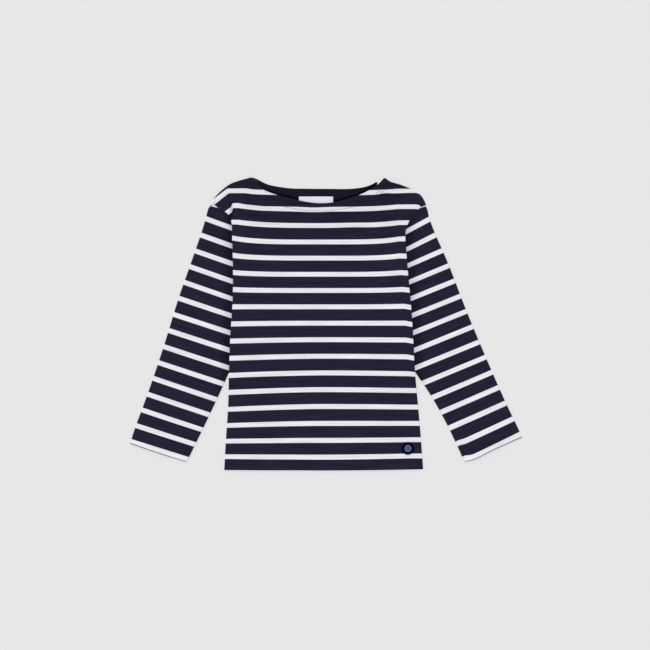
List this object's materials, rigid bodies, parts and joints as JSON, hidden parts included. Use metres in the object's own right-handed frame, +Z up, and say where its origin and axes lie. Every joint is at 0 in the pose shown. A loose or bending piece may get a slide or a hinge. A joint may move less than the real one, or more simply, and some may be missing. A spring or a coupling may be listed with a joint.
{
  "type": "breton shirt",
  "caption": "Child's long-sleeved breton shirt with a boat neck, laid flat on its back with the sleeves folded down beside the body.",
  "frame": {"origin": "on the surface that the shirt lies on, below the middle of its outline's box", "axes": "+X towards the wearer's left sleeve, +Y towards the neck, +Z up from the surface"},
  "size_m": [0.6652, 0.498, 0.0084],
  "materials": {
    "striped_jersey": "matt heavy cotton jersey, ink navy with narrow white stripes",
    "navy_tape": "matt plain navy cotton tape",
    "white_label": "smooth white woven satin, blank",
    "badge_enamel": "semi-gloss dark blue enamel with a pale plain ring"
  },
  "bodies": {
    "root": {"front": "striped_jersey", "back": "striped_jersey", "sleeve_right": "striped_jersey", "sleeve_left": "striped_jersey", "neck_tape": "navy_tape", "neck_label": "white_label", "badge": "badge_enamel"}
  },
  "joints": []
}
